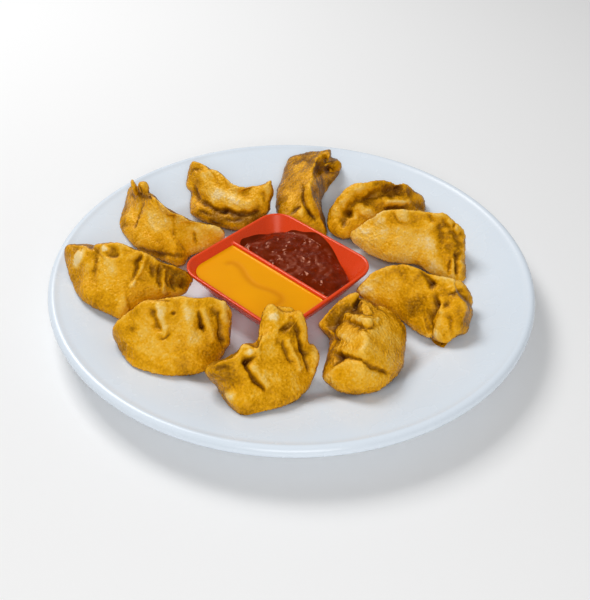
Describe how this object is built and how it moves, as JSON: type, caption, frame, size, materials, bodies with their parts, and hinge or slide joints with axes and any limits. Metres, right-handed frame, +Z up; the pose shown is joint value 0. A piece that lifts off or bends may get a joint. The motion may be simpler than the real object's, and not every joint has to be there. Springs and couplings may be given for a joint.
{
  "type": "plate of fried momo dumplings",
  "caption": "Fried momo dumplings with pleated, browned wrappers, ringed round a two-part dish of orange and chilli dips on a round white dinner plate.",
  "frame": {"origin": "centre of the underside of the plate's foot ring, on the surface it stands on", "axes": "+Z up, square to the plate; the dip dish's corners point along X and Y, and -Y is the front, the side nearest the diner"},
  "size_m": [0.28, 0.28, 0.0445],
  "materials": {
    "melamine_white": "glossy moulded melamine, faintly blue white",
    "melamine_red": "glossy moulded melamine",
    "orange_dip": "smooth wet sauce",
    "chilli_dip": "thick glossy chilli paste, lumpy",
    "fried_crust": "deep-fried wheat dough, blistered and lightly oily, darker in the folds"
  },
  "bodies": {
    "root": {"plate": "melamine_white", "dip_dish": "melamine_red", "orange_dip": "orange_dip", "chilli_dip": "chilli_dip", "momo_01": "fried_crust", "momo_02": "fried_crust", "momo_03": "fried_crust", "momo_04": "fried_crust", "momo_05": "fried_crust", "momo_06": "fried_crust", "momo_07": "fried_crust", "momo_08": "fried_crust", "momo_09": "fried_crust", "momo_10": "fried_crust"}
  },
  "joints": []
}
